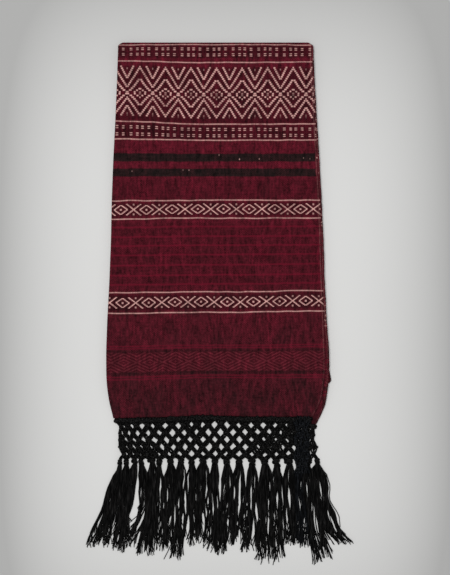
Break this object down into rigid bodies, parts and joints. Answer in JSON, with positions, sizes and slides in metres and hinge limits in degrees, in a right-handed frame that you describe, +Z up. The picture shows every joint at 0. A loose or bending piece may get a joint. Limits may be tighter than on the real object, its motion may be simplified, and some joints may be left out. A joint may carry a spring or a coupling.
{
  "type": "folded rebozo shawl",
  "caption": "Handwoven cotton rebozo shawl, folded and laid flat, with woven pattern bands, a knotted net fringe and long tassels.",
  "frame": {"origin": "on the surface it lies on, under the middle of its bounding box", "axes": "+Z up from the surface, +Y up the cloth from the tassels to the top fold, +X from the lengthwise fold to the selvages"},
  "size_m": [0.3167, 0.6208, 0.01],
  "materials": {
    "cloth": "matte twill cotton, maroon with pink and black woven bands",
    "fringe": "soft black cotton yarn, knotted"
  },
  "bodies": {
    "root": {"front_layer": "cloth", "second_layer": "cloth", "inner_layers": "cloth", "net_front": "fringe", "net_second": "fringe", "tassel_01": "fringe", "tassel_02": "fringe", "tassel_03": "fringe", "tassel_04": "fringe", "tassel_05": "fringe", "tassel_06": "fringe", "tassel_07": "fringe", "tassel_08": "fringe", "tassel_09": "fringe", "tassel_10": "fringe", "tassel_11": "fringe", "tassel_12": "fringe", "tassel_13": "fringe", "tassel_14": "fringe", "tassel_15": "fringe", "tassel_16": "fringe", "tassel_17": "fringe", "tassel_18": "fringe", "tassel_19": "fringe", "tassel_20": "fringe"}
  },
  "joints": []
}
